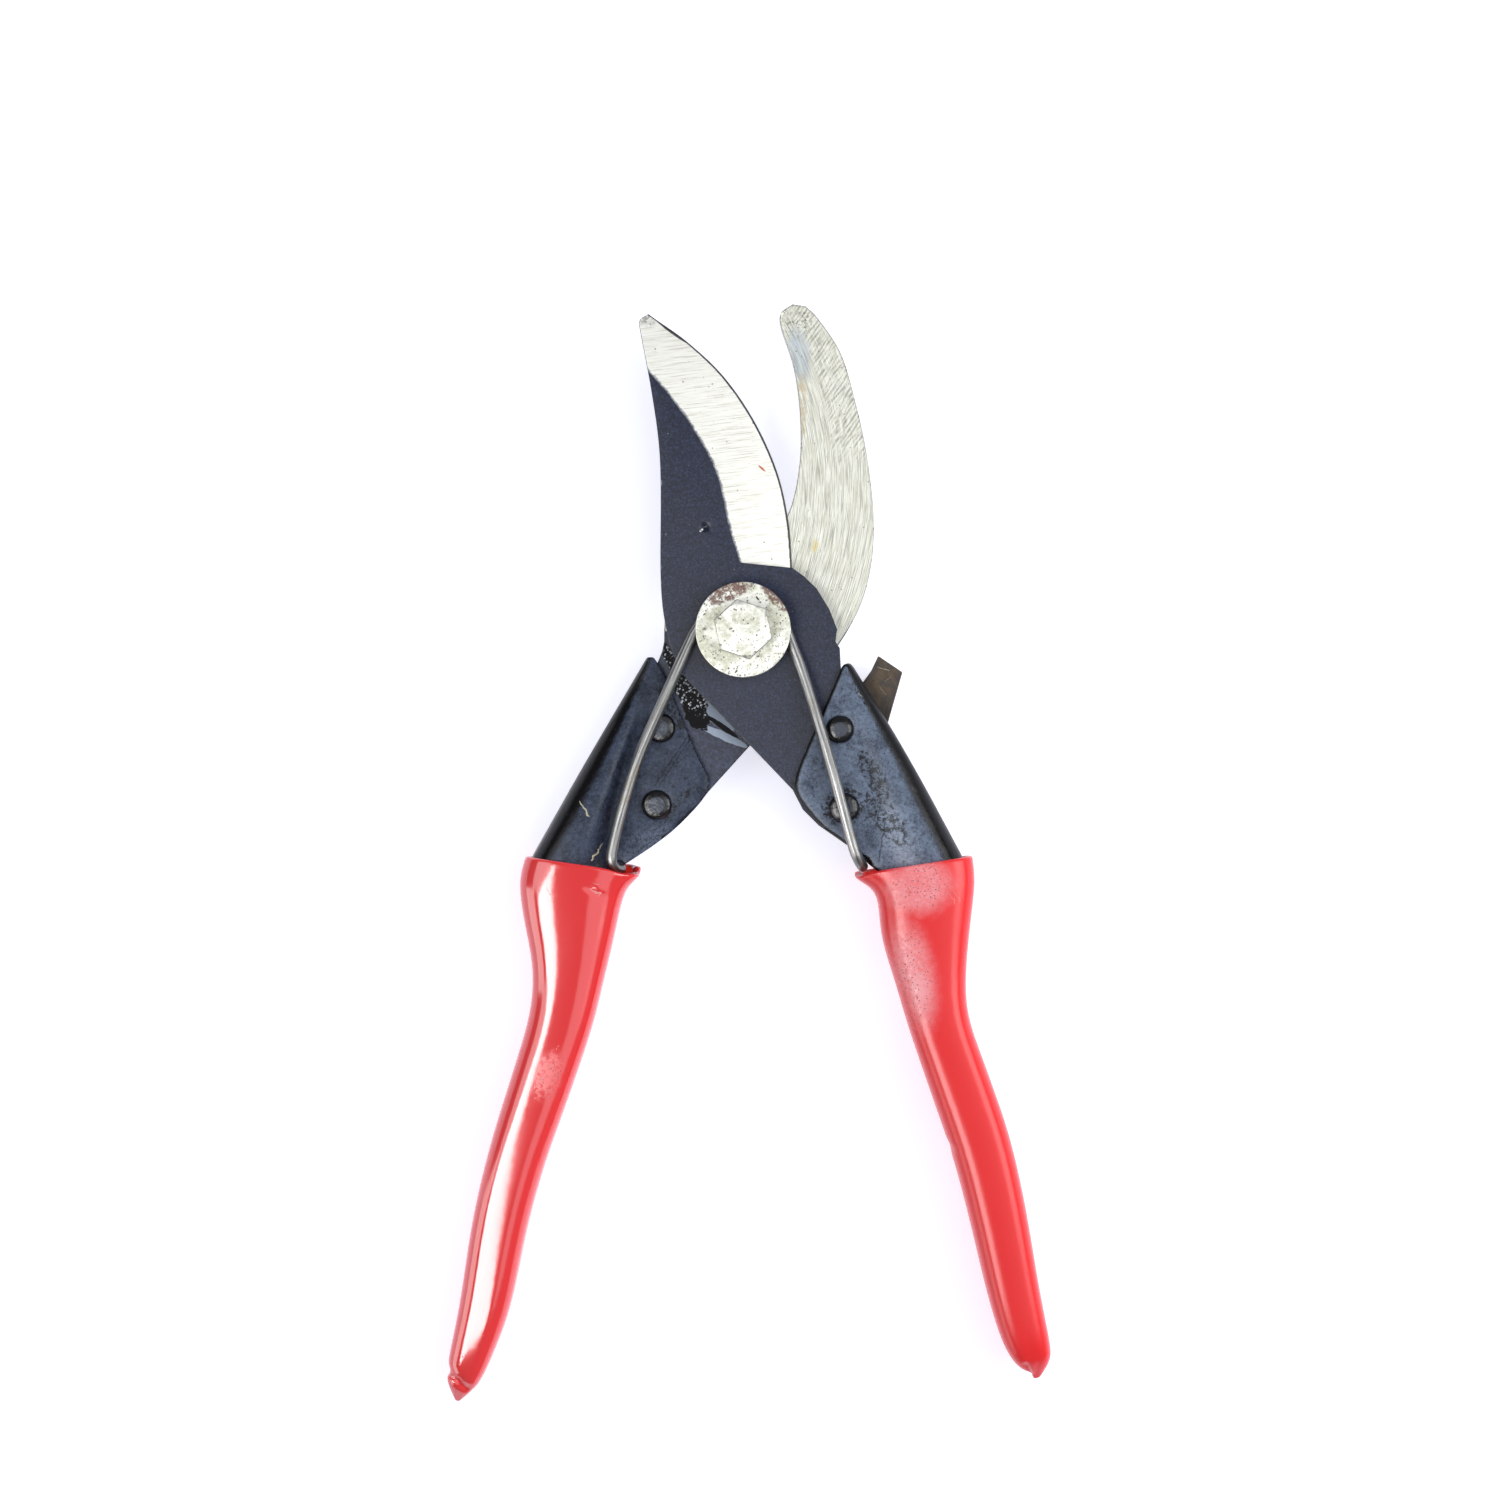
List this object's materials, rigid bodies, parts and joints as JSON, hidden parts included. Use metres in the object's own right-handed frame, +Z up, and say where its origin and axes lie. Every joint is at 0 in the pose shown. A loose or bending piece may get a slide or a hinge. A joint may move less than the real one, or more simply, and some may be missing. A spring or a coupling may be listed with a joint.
{
  "type": "pruning shears",
  "caption": "Hand pruning shears: a ground blade passes a hooked counter-blade, with channel handles in dipped sleeves, a hairpin spring and a swinging lock lever.",
  "frame": {"origin": "on the pivot axis, in the plane that the shears rest on, at the end of the pivot bolt", "axes": "+Z up along the pivot axis, +Y towards the blade tips, +X towards the handle that carries the cutting blade"},
  "size_m": [0.115, 0.2089, 0.018],
  "materials": {
    "ground_steel": "ground, brushed along its length, stained",
    "black_blade": "satin black coating with a bright ground bevel",
    "handle_paint": "semi-gloss black enamel, scuffed",
    "red_sleeve": "glossy dipped PVC",
    "rivet": "black, flat crowns worn",
    "zinc": "zinc plated, dull, rust at the rims",
    "spring_wire": "drawn wire",
    "worn_steel": "worn black over brown steel"
  },
  "bodies": {
    "hook_side": {"counter_blade": "ground_steel", "left_handle": "handle_paint", "left_grip": "red_sleeve", "left_rivet_upper": "rivet", "left_rivet_lower": "rivet", "pivot_bolt": "zinc", "pivot_washer": "zinc", "spring_collar": "zinc", "back_washer": "zinc", "pivot_nut": "zinc", "hairpin_spring": "spring_wire"},
    "blade_side": {"cutting_blade": "black_blade", "right_handle": "handle_paint", "right_grip": "red_sleeve", "right_rivet_upper": "rivet", "right_rivet_lower": "rivet", "lock_washer": "zinc"},
    "lock": {"lock_lever": "worn_steel"}
  },
  "joints": [
    {"name": "blade_pivot", "type": "hinge", "parent": "hook_side", "child": "blade_side", "pos_m": [0, 0, 0.009], "axis": [0, 0, -1], "range_deg": [0, 26], "stiffness_Nm_per_rad": 1, "springref_deg": -34.38, "deforming": ["hairpin_spring"]},
    {"name": "lock_pivot", "type": "hinge", "parent": "blade_side", "child": "lock", "pos_m": [0.0191, -0.0336, 0.0053], "axis": [0, 0, 1], "range_deg": [0, 14]}
  ]
}
